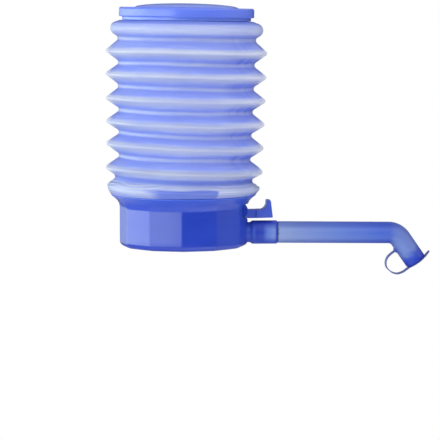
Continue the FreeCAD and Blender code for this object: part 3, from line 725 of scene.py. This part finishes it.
WALL = 1.05
TIPS = [(45.1, 43.4), (45.1, 57.3), (45.4, 70.1), (45.7, 83.5), (45.9, 97.0), (45.9, 110.4)]
VALLEYS = [(38.3, 38.6), (37.0, 50.8), (37.1, 64.0), (37.6, 77.1), (38.1, 90.4), (38.3, 103.8), (38.8, 117.6)]
outer = [(41.55, 30.1, 0.0), (44.1, 34.0, 2.2)]
for i, (r, z) in enumerate(VALLEYS):
    outer.append((r - 0.9, z, 1.9))
    if i < len(TIPS):
        outer.append((TIPS[i][0] + 0.65, TIPS[i][1], 1.3))
outer += [(47.9, 124.2, 3.8), (37.8, 127.85, 0.5), (34.4, 127.85, 0.5), (34.4, 130.85, 0.0)]
inner = offset_chain(outer, WALL)
outer_line = fillet_path(outer, False)
inner_line = fillet_path(inner, False)
JOIN_LOW, JOIN_HIGH = 38.6, 117.6


def nearest(line, z):
    return min(range(len(line)), key=lambda i: abs(line[i][1] - z))


def fold_tone(r, z, a):
    """1 on the ridges (thin wall and painted highlight), a painted highlight along the bottom of the valleys, 0 on the
    slopes.
    """
    from_tip = min((z - t[1] for t in TIPS), key=abs)
    near_valley = min(abs(z - v[1]) for v in VALLEYS)
    t = 1.0 - (smoothstep(1.0, 3.0, from_tip) if from_tip > 0 else smoothstep(1.4, 4.8, -from_tip))
    # painted highlight along the bottom of each valley
    v = 0.6 * (1.0 - smoothstep(0.4, 1.5, near_valley)) if z > 42.0 else 0.0
    # the skirt: pale, with painted highlight and shade across its crinkles
    if z < 37.6:
        t = max(t, (0.80 + 0.45 * crinkle(z, a)) * (1.0 - smoothstep(36.8, 37.6, z)))
    # the crown: paler over its bulge as on the ridges, and left deep blue as painted shade where the shoulder runs in
    # under the cap
    if z > 119.0:
        t = max(t, 0.74 * smoothstep(119.3, 121.6, z) * (smoothstep(40.8, 44.0, r) if z > 124.5 else 1.0))
    return min(1.0, max(t, v))


def thin(r, z):
    """How thin the wall is: blown thinnest at the tips of the folds."""
    t = fold_tone(r, z, 0.0)
    if z < 40.0:
        return 0.12 * t
    if z > 118.5:
        return 0.35 * t
    return t * smoothstep(39.0, 43.0, r)


def creased(r, z, a):
    """Where the slopes are creased, with bumps and painted shade: most on the undersides of the folds, on the side the
    pump leans to.
    """
    if z < 39.5 or z > 119.0:
        return 0.0
    from_tip = min((z - t[1] for t in TIPS), key=abs)
    under = 1.0 - smoothstep(-0.8, 0.2, from_tip)
    front = math.degrees(a + math.pi) % 360.0 - 180.0
    side = 0.08 + 0.92 * smoothstep(-62.0, -40.0, front) * (1.0 - 0.75 * smoothstep(-30.0, 0.0, front))
    return (0.30 + 0.70 * under) * side * (1.0 - smoothstep(0.35, 0.9, fold_tone(r, z, a)))


def ridge_highlight(z):
    """A painted highlight: a thin bright line along the top of each fold."""
    return 1.0 - smoothstep(0.10, 0.70, min(abs(z - t[1]) for t in TIPS))


def crinkle(z, a):
    """Creases of the skirt where it is stretched over the rim."""
    if z > 38.0:
        return 0.0
    ring = noise.noise(Vector((2.2 * math.cos(a), 2.2 * math.sin(a), 5.0)))
    much = smoothstep(32.6, 33.8, z) * (1.0 - smoothstep(36.9, 37.9, z))
    much *= 0.55 + 0.9 * noise.noise(Vector((3.0 * math.cos(a), 3.0 * math.sin(a), z * 0.5)))
    wave = math.sin(2 * math.pi * (z + 1.5 * ring) / 1.6)
    return much * (wave if wave < 0 else wave ** 0.6)


# angles round the pump where the rim's colour is painted on the skirt
PATCHES = [(-27.0, 24.0), (118.0, 171.0), (-160.0, -112.0)]


def see_through_and_shade(r, z, a):
    """1 where the skirt clings to the rim behind it: the rim's colour painted on the skirt, from sharp edge to sharp
    edge; less at the join above the skirt and where the shoulder runs in under the cap, as painted shade.
    """
    if z > 36.4:
        # painted shade at the join above the skirt and where the shoulder runs in under the cap
        seam = 0.55 * (1.0 - smoothstep(0.5, 1.7, abs(z - 38.9)))
        return max(seam, 0.30 * smoothstep(125.6, 126.6, z) * (1.0 - smoothstep(41.0, 43.5, r)))
    front = (math.degrees(a) + 90.0 + 180.0) % 360.0 - 180.0
    ragged = 1.2 * noise.noise(Vector((front * 0.05, z * 0.9, 3.0)))
    hit = 0.0
    for lo, hi in PATCHES:
        hit = max(hit, smoothstep(lo - 9.0, lo + 9.0, front + 3 * ragged) * (1.0 - smoothstep(hi - 0.8, hi + 0.8, front + ragged)))
    top = 34.3 + 0.8 * noise.noise(Vector((front * 0.035, 1.0, 0.0)))
    streaks = 0.86 + 0.14 * noise.noise(Vector((front * 0.04, z * 2.6, 9.0)))
    low = 0.50 * (1.0 - smoothstep(30.1, 33.4, z + 0.5 * noise.noise(Vector((front * 0.03, 0.0, 4.0)))))
    return max(low, hit * streaks * (1.0 - smoothstep(top, top + 0.6, z)))


def bellows_place(r, z, a):
    away = smoothstep(38.6, 44.0, z) * (1.0 - smoothstep(111.5, 117.6, z))
    wander = noise.noise(Vector((1.3 * math.cos(a), 1.3 * math.sin(a), z * 0.06)))
    wander2 = noise.noise(Vector((2.6 * math.cos(a) + 7.0, 2.6 * math.sin(a), z * 0.11)))
    dz = (0.55 * wander + 0.25 * wander2) * away
    dr = -0.25 * abs(wander2) * away
    dr += 0.42 * crinkle(z, a)
    x, y = (r + dr) * math.cos(a), (r + dr) * math.sin(a)
    return leaned(x, y, z + dz, z)


def lip(r, z, reach):
    """A short collar inside a join, which stays behind it when the folds close up."""
    return [(r - 0.10, z), (r - 0.12, z + reach), (r - 0.55, z + reach), (r - 0.55, z - 0.2 * (1 if reach > 0 else -1))]


def bellows_part(name, z0, z1, body, nodes=()):
    i0 = 0 if z0 is None else nearest(outer_line, z0)
    j0 = 0 if z0 is None else nearest(inner_line, z0)
    i1 = len(outer_line) - 1 if z1 is None else nearest(outer_line, z1)
    j1 = len(inner_line) - 1 if z1 is None else nearest(inner_line, z1)
    outside, inside = outer_line[i0:i1 + 1], inner_line[j0:j1 + 1]
    if z0 is None:
        # finer rows for the crinkles of the skirt
        outside = [p for p in fillet_path(outer[:4], False, turn=6.0, step=0.32) if p[1] < outside[-1][1] - 0.1] + [outside[-1]]
        inside = [p for p in fillet_path(inner[:4], False, turn=6.0, step=0.32) if p[1] < inside[-1][1] - 0.1] + [inside[-1]]
    outline = [tuple(p) for p in outside] + [tuple(p) for p in inside[::-1]]
    if z0 is None:
        r, z = outline[len(outside)]
        outline = outline[:len(outside)] + lip(r, z, 1.3) + [q for q in outline[len(outside):] if q[1] < z - 0.5]
    elif z1 is None:
        r, z = outline[-1]
        outline = outline[:len(outside)] + [q for q in outline[len(outside):] if q[1] > z + 0.5] + lip(r, z, -0.9)[::-1]
    around = 360 if z0 is None else 180
    verts, faces, tones = revolve(outline, around, bellows_place, fold_tone)
    see_through_and_shade_values = [see_through_and_shade(r, z, 2 * math.pi * k / around) for k in range(around) for r, z in outline]
    thins = [thin(r, z) for r, z in outline] * around
    folded = [creased(r, z, 2 * math.pi * k / around) for k in range(around) for r, z in outline]
    ridge_highlights = [ridge_highlight(z) for r, z in outline] * around
    return piece(name, verts, faces, body, BELLOWS, nodes, angle=40.0,
                 attributes={"tone": tones, "see_through_and_shade": see_through_and_shade_values, "thin": thins, "creased": folded, "ridge_highlight": ridge_highlights})


skirt = bellows_part("bellows_skirt", None, JOIN_LOW, "base")
folds = bellows_part("bellows_folds", JOIN_LOW, JOIN_HIGH, "base", ("bellows",))
crown = bellows_part("bellows_crown", JOIN_HIGH, None, "press_head")
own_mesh(folds)


# ================================================================ cap and what is under it, leaning with the bellows
def lean_copy(node_name, body, level=130.0):
    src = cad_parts[node_name]
    mesh = src.data.copy()
    mesh.name = node_name + "_set"
    for v in mesh.vertices:
        x, y, z = v.co.x / MM, v.co.y / MM, v.co.z / MM
        px, py, pz = leaned(x, y, z, level)
        px += (z - level) * math.tan(math.radians(tilt_at(level)))
        v.co = (px * MM, py * MM, pz * MM)
    obj = bpy.data.objects.new(node_name + "_set", mesh)
    scene.collection.objects.link(obj)
    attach(obj, body)
    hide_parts(node_name)
    return obj


def cap_place(x, y, z, level=130.0):
    px, py, pz = leaned(x, y, z, level)
    return (px + (z - level) * math.tan(math.radians(tilt_at(level))), py, pz)


def crown(r, rise, reach):
    return rise * math.sqrt(max(0.0, 1.0 - (r / reach) ** 2))


CAP_PROFILE = [(0.0, 137.75)]
for k in range(1, 22):
    r = 29.0 * math.sin(math.radians(90 * k / 22))
    CAP_PROFILE.append((r, 135.35 + crown(r, 2.4, 29.0)))
CAP_PROFILE += [(29.15, 135.45), (29.7, 135.3)]
rim = fillet_path([(30.2, 135.3), (38.3, 135.25, 1.3), (38.3, 129.9, 0.6), (36.5, 129.9, 0.35), (36.5, 128.0, 0.35),
                   (34.9, 128.0), (34.9, 133.3), (29.0, 133.3)], False, step=2.0)
CAP_PROFILE += [tuple(q) for q in rim]
CAP_PROFILE += [(22.0, 134.2), (12.0, 135.1), (0.0, 135.5)]
verts, faces, _ = revolve(CAP_PROFILE, 180, lambda r, z, a: cap_place(r * math.cos(a), r * math.sin(a), z))
cap = tool("cap", verts, faces)
for turn in (60, 90, 120):
    c, sn = math.cos(math.radians(turn)), math.sin(math.radians(turn))
    combine(cap, "DIFFERENCE", block(34.0, 37.4, -3.2, 3.2, 127.0, 129.4,
                                     lambda x, y, z: cap_place(c * x - sn * y, sn * x + c * y, z)))
settle(cap, "cap_shell", "press_head", CAP, ("press_cap",), 30.0)
lean_copy("intake_plate", "press_head")
lean_copy("plate_seal", "press_head")
lean_copy("intake_valve", "intake_valve")

# ================================================================ spout, which sags a little in its socket
SAG = math.tan(math.radians(0.6))
BEND = (122.0, 7.5)
TIP_DIR = (math.cos(math.radians(55.0)), -math.sin(math.radians(55.0)))


def sagged(x, z):
    return z - max(0.0, x - 52.0) * SAG


def sag_copy(node_name, body, slot_name):
    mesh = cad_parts[node_name].data.copy()
    mesh.name = node_name + "_set"
    for v in mesh.vertices:
        v.co.z = sagged(v.co.x / MM, v.co.z / MM) * MM
    obj = bpy.data.objects.new(node_name + "_set", mesh)
    scene.collection.objects.link(obj)
    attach(obj, body)
    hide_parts(node_name)
    return obj


TURN_R = 8.2
TURN_T = TURN_R * math.tan(math.radians(27.5))
TURN_LEN = TURN_R * math.radians(55.0)
STRAIGHT = BEND[0] - TURN_T
TIP_END = STRAIGHT + TURN_LEN + (20.4 - TURN_T)


def centre_line(s):
    """Point and direction of the spout's centre line; s is x up to the bend."""
    if s <= STRAIGHT:
        return (s, BEND[1]), (1.0, 0.0)
    if s <= STRAIGHT + TURN_LEN:
        t = (s - STRAIGHT) / TURN_R
        return (STRAIGHT + TURN_R * math.sin(t), BEND[1] - TURN_R * (1 - math.cos(t))), (math.cos(t), -math.sin(t))
    d = s - STRAIGHT - TURN_LEN + TURN_T
    return (BEND[0] + TIP_DIR[0] * d, BEND[1] + TIP_DIR[1] * d), TIP_DIR


def steps(a, b, n):
    return [a + (b - a) * k / n for k in range(1, n + 1)]


outside = [(41.8, 3.9), (41.8, 4.6), (42.35, 5.15), (46.4, 5.15), (46.5, 5.05), (46.5, 4.7), (48.3, 4.7), (48.3, 5.05), (48.4, 5.15),
           (53.55, 5.15), (53.62, 5.3), (53.62, 6.0), (53.85, 6.2)]
outside += [(q, 6.2) for q in steps(53.85, STRAIGHT - 1.0, 40)]
outside += [(q, 6.2) for q in steps(STRAIGHT - 1.0, STRAIGHT + TURN_LEN + 0.8, 22)]
outside += [(q, 6.2) for q in steps(STRAIGHT + TURN_LEN + 0.8, TIP_END - 1.3, 12)]
outside += [(TIP_END - 1.3 + 1.3 * math.sin(math.radians(q)), 5.0 + 1.2 * math.cos(math.radians(q))) for q in (20, 40, 60, 75, 90)]
inside = [(TIP_END - 0.2, 4.82)] + [(q, 4.8) for q in steps(TIP_END - 0.2, STRAIGHT + TURN_LEN + 0.8, 12)]
inside += [(q, 4.8) for q in steps(STRAIGHT + TURN_LEN + 0.8, STRAIGHT - 1.0, 22)]
inside += [(q, 4.8) for q in steps(STRAIGHT - 1.0, 56.2, 40)] + [(55.6, 4.5), (55.0, 3.8), (54.6, 3.7), (42.0, 3.7)]
chain = outside + inside
AROUND = 96
verts, runs, rim_shade = [], [], []
for i, (q, r) in enumerate(chain):
    (cx, cz), (tx, tz) = centre_line(q)
    for k in range(AROUND):
        a = 2 * math.pi * k / AROUND
        u, v = r * math.cos(a), r * math.sin(a)
        x, z = cx - tz * v, cz + tx * v
        verts.append((x, u, sagged(x, z)))
        runs.append((q - 53.0) / (TIP_END - 53.0))
        # painted shade: darker along the upper and lower side of the tube and the outer side of the bend
        up = math.sin(a)
        bent = smoothstep(STRAIGHT, STRAIGHT + 0.8 * TURN_LEN, q)
        over = smoothstep(0.30, 0.72, up) * (1 - bent) + (0.55 * smoothstep(0.0, 0.55, up) + 0.45 * smoothstep(0.55, 0.85, up)) * bent
        edge = smoothstep(0.84, 0.97, abs(up))
        rim_shade.append((0.78 * (over + smoothstep(0.42, 0.92, -up) * (1 - 0.3 * bent)) + 0.22 * edge) * (1.0 if i < len(outside) else 0.3))
faces = []
for i in range(len(chain)):
    j = (i + 1) % len(chain)
    for k in range(AROUND):
        k2 = (k + 1) % AROUND
        faces.append((i * AROUND + k, i * AROUND + k2, j * AROUND + k2, j * AROUND + k))
piece("spout_tube", verts, faces, "spout", SPOUT, ("spout",), 35.0, {"run": runs, "rim_shade": rim_shade})

# lug of the strap on the inner side of the tip
lug_at, _ = centre_line(STRAIGHT + TURN_LEN - TURN_T + 8.3)
lug_line = fillet_path([(-1.3, -0.8), (1.3, -0.8), (1.15, 1.15, 0.6), (-1.15, 1.15, 0.6)], True, turn=20.0, step=5.0)
side = (-math.sin(math.radians(55.0)), -math.cos(math.radians(55.0)))
verts, m = [], len(lug_line)
for y, shrink in ((-2.9, 0.86), (-2.75, 0.97), (-2.4, 1.0), (2.4, 1.0), (2.75, 0.97), (2.9, 0.86)):
    for u, v in lug_line:
        u, v = u * shrink, (v * shrink if v > 0 else v)
        d = 5.75 + v
        x, z = lug_at[0] + TIP_DIR[0] * u + side[0] * d, lug_at[1] + TIP_DIR[1] * u + side[1] * d
        verts.append((x, y, sagged(x, z)))
faces = [(i * m + k, i * m + (k + 1) % m, (i + 1) * m + (k + 1) % m, (i + 1) * m + k) for i in range(5) for k in range(m)]
faces += [tuple(range(m))[::-1], tuple(5 * m + k for k in range(m))]
piece("strap_lug_set", verts, faces, "spout", LUG, ("strap_lug",), 40.0)

# stopper: a thin disc with a thin-walled plug behind it and a pull tab that stands up a little
END = (BEND[0] + TIP_DIR[0] * 20.4, BEND[1] + TIP_DIR[1] * 20.4)


def at_tip(w, y, d):
    """w across the tube's end, up and outwards; d out of it."""
    x, z = END[0] - TIP_DIR[1] * w + TIP_DIR[0] * d, END[1] + TIP_DIR[0] * w + TIP_DIR[1] * d
    return (x, y, sagged(x, z))


plug_line = [(0.0, 0.86), (3.0, 0.82), (5.0, 0.72), (5.9, 0.62), (6.12, 0.48), (6.15, 0.3), (6.05, 0.12), (5.9, 0.06), (4.72, 0.06),
             (4.72, -3.9), (4.5, -4.4), (4.2, -4.6), (3.8, -4.6), (3.6, -4.4), (3.6, 0.0), (3.4, 0.2), (0.0, 0.2)]
verts, faces, _ = revolve(plug_line, 96, lambda r, d, a: at_tip(r * math.cos(a), r * math.sin(a), d))
stopper = tool("stopper", verts, faces)
tab_plan = fillet_path([(4.6, -2.5), (10.0, -2.5, 1.7), (10.0, 2.5, 1.7), (4.6, 2.5)], True, turn=15.0, step=0.8)
verts, m = [], len(tab_plan)
for low in (0.0, 0.46):
    for w, y in tab_plan:
        up = max(0.0, w - 6.0)
        verts.append(at_tip(min(w, 6.0) + up * math.cos(math.radians(17.0)), y, 0.10 + low - up * math.sin(math.radians(17.0))))
faces = [(k, (k + 1) % m, m + (k + 1) % m, m + k) for k in range(m)] + [tuple(range(m))[::-1], tuple(range(m, 2 * m))]
combine(stopper, "UNION", tool("tab", verts, faces))
settle(stopper, "stopper", "spout_cap", TIP, ("spout_cap",), 40.0)

# ================================================================ strap
STRAP = [(129.7, -12.55), (128.95, -13.1), (128.2, -13.65), (126.9, -14.65), (125.1, -15.6), (122.7, -16.2), (120.1, -15.6),
         (118.2, -14.3), (116.6, -12.5), (116.1, -10.2), (116.4, -8.3), (117.5, -6.3), (119.3, -4.6), (121.5, -2.95)]
STRAP = [(x, sagged(x, z)) for x, z in STRAP]


def catmull(points, n):
    out = []
    for i in range(len(points) - 1):
        p0, p1, p2 = points[max(i - 1, 0)], points[i], points[i + 1]
        p3 = points[min(i + 2, len(points) - 1)]
        for k in range(n):
            t = k / n
            out.append(tuple(0.5 * (2 * b + (c - a) * t + (2 * a - 5 * b + 4 * c - d) * t * t
                                    + (3 * b - a - 3 * c + d) * t ** 3) for a, b, c, d in zip(p0, p1, p2, p3)))
    out.append(points[-1])
    return out


line = catmull(STRAP, 6)
half_w, half_t = 2.5, 0.34
section = fillet_path([(-half_w, -half_t, 0.24), (half_w, -half_t, 0.24), (half_w, half_t, 0.24), (-half_w, half_t, 0.24)],
                      True, turn=30.0, step=1.0)
verts, faces = [], []
for i, p in enumerate(line):
    a, b = line[max(i - 1, 0)], line[min(i + 1, len(line) - 1)]
    dx, dz = b[0] - a[0], b[1] - a[1]
    n = math.hypot(dx, dz)
    nx, nz = -dz / n, dx / n
    s = i / (len(line) - 1)
    wide = 1.0 - 0.10 * math.sin(math.pi * s)
    for u, v in section:
        verts.append((p[0] + nx * v, u * wide, p[1] + nz * v))
m = len(section)
for i in range(len(line) - 1):
    for k in range(m):
        k2 = (k + 1) % m
        faces.append((i * m + k, i * m + k2, (i + 1) * m + k2, (i + 1) * m + k))
faces.append(tuple(range(m))[::-1])
faces.append(tuple((len(line) - 1) * m + k for k in range(m)))
mesh = bpy.data.meshes.new("cap_strap_ribbon")
mesh.from_pydata([tuple(c * MM for c in v) for v in verts], [], faces)
finish_mesh(mesh, 50.0)
mesh.materials.append(TIP)
strap = bpy.data.objects.new("cap_strap_ribbon", mesh)
scene.collection.objects.link(strap)
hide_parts("cap_strap")
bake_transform(strap)


# ================================================================ light and surroundings
world = bpy.data.worlds.new("studio")
world.use_nodes = True
scene.world = world
nt = world.node_tree
for n in list(nt.nodes):
    nt.nodes.remove(n)
g = Graph(nt)
wout = nt.nodes.new("ShaderNodeOutputWorld")
tc = nt.nodes.new("ShaderNodeTexCoord")
sep = nt.nodes.new("ShaderNodeSeparateXYZ")
nt.links.new(tc.outputs["Generated"], sep.inputs[0])
dx, dy, dz = sep.outputs
# a soft wall of light round the pump: strong on the left, dim in front and on the right
round_about = g.math("ARCTAN2", g.math("MULTIPLY", dx, -1.0), g.math("MULTIPLY", dy, -1.0))
place = g.math("ADD", g.math("MULTIPLY", round_about, 0.5 / math.pi), 0.5)
STRIP = [(-180, 0.25), (-150, 0.03), (-110, 0.20), (-90, 0.60), (-60, 0.15), (-30, 0.02), (0, 0.05), (18, 0.35),
         (24, 2.40), (34, 4.00), (46, 4.10), (64, 3.60), (80, 4.60), (94, 5.20), (112, 4.00), (150, 1.00), (180, 0.25)]
COOL = (0.95, 1.08, 1.08)
ramp = nt.nodes.new("ShaderNodeValToRGB")
nt.links.new(place, ramp.inputs[0])
ramp.color_ramp.interpolation = "LINEAR"
while len(ramp.color_ramp.elements) > 1:
    ramp.color_ramp.elements.remove(ramp.color_ramp.elements[0])
ramp.color_ramp.elements[0].position = 0.0
ramp.color_ramp.elements[0].color = (*(STRIP[0][1] / 5.5 * c for c in COOL), 1.0)
for deg, value in STRIP[1:]:
    e = ramp.color_ramp.elements.new((deg + 180.0) / 360.0)
    e.color = (*(value / 5.5 * c for c in COOL), 1.0)


def ease(value, lo, hi):
    n = nt.nodes.new("ShaderNodeMapRange")
    n.interpolation_type = "SMOOTHSTEP"
    nt.links.new(value, n.inputs["Value"])
    n.inputs["From Min"].default_value, n.inputs["From Max"].default_value = lo, hi
    return n.outputs["Result"]


band = g.math("MULTIPLY", ease(dz, -0.25, -0.15), g.math("SUBTRACT", 1.0, ease(dz, 0.10, 0.20)))
front = g.math("ADD", g.math("MULTIPLY", ease(g.math("MULTIPLY", dy, -1.0), -0.3, 0.6), 0.6), 0.4)
front = g.math("MULTIPLY", front, g.math("ADD", g.math("MULTIPLY", ease(dx, 0.10, 0.80), 0.7), 1.0))
ceiling = g.math("MULTIPLY", ease(dz, 0.20, 0.35), g.math("MULTIPLY", front, 1.45))
ground = g.math("MULTIPLY", g.math("SUBTRACT", 1.0, ease(dz, -0.35, -0.20)), g.math("MULTIPLY", front, 1.2))


def lamp_of(colour, strength):
    n = nt.nodes.new("ShaderNodeBackground")
    g.put(n.inputs["Color"], colour)
    g.put(n.inputs["Strength"], strength)
    return n.outputs[0]


def plus(a, b):
    n = nt.nodes.new("ShaderNodeAddShader")
    nt.links.new(a, n.inputs[0])
    nt.links.new(b, n.inputs[1])
    return n.outputs[0]


soft = plus(lamp_of(ramp.outputs[0], g.math("MULTIPLY", band, 5.5)), lamp_of((1, 1, 1), g.math("ADD", ceiling, ground)))
# what is seen through clear plastic: a white backdrop at eye level
level = g.math("SUBTRACT", 1.0, ease(g.math("ABSOLUTE", dz), 0.25, 0.55))
behind = lamp_of((1, 1, 1), g.math("ADD", g.math("MULTIPLY", level, 1.0), 0.15))
bright = nt.nodes.new("ShaderNodeBackground")
bright.inputs["Color"].default_value = (1, 1, 1, 1)
bright.inputs["Strength"].default_value = 1.0
path = nt.nodes.new("ShaderNodeLightPath")
through = nt.nodes.new("ShaderNodeMixShader")
nt.links.new(path.outputs["Is Transmission Ray"], through.inputs[0])
nt.links.new(soft, through.inputs[1])
nt.links.new(behind, through.inputs[2])
mixer = nt.nodes.new("ShaderNodeMixShader")
nt.links.new(path.outputs["Is Camera Ray"], mixer.inputs[0])
nt.links.new(through.outputs[0], mixer.inputs[1])
nt.links.new(bright.outputs[0], mixer.inputs[2])
nt.links.new(mixer.outputs[0], wout.inputs["Surface"])

floor_mesh = bpy.data.meshes.new("floor")
floor_mesh.from_pydata([(-8, -8, -0.5), (8, -8, -0.5), (8, 8, -0.5), (-8, 8, -0.5)], [], [(0, 1, 2, 3)])
floor = bpy.data.objects.new("floor", floor_mesh)
scene.collection.objects.link(floor)
fm, nt, out = new_material("floor_white")
g = Graph(nt)
lamp = g.node("ShaderNodeEmission", Color=(1, 1, 1), Strength=1.0)
clear = nt.nodes.new("ShaderNodeBsdfTransparent")
geo = nt.nodes.new("ShaderNodeNewGeometry")
last = nt.nodes.new("ShaderNodeMixShader")
nt.links.new(geo.outputs["Backfacing"], last.inputs[0])
nt.links.new(lamp.outputs[0], last.inputs[1])
nt.links.new(clear.outputs[0], last.inputs[2])
nt.links.new(last.outputs[0], out.inputs["Surface"])
floor_mesh.materials.append(fm)
floor.visible_diffuse = floor.visible_glossy = floor.visible_transmission = floor.visible_shadow = False
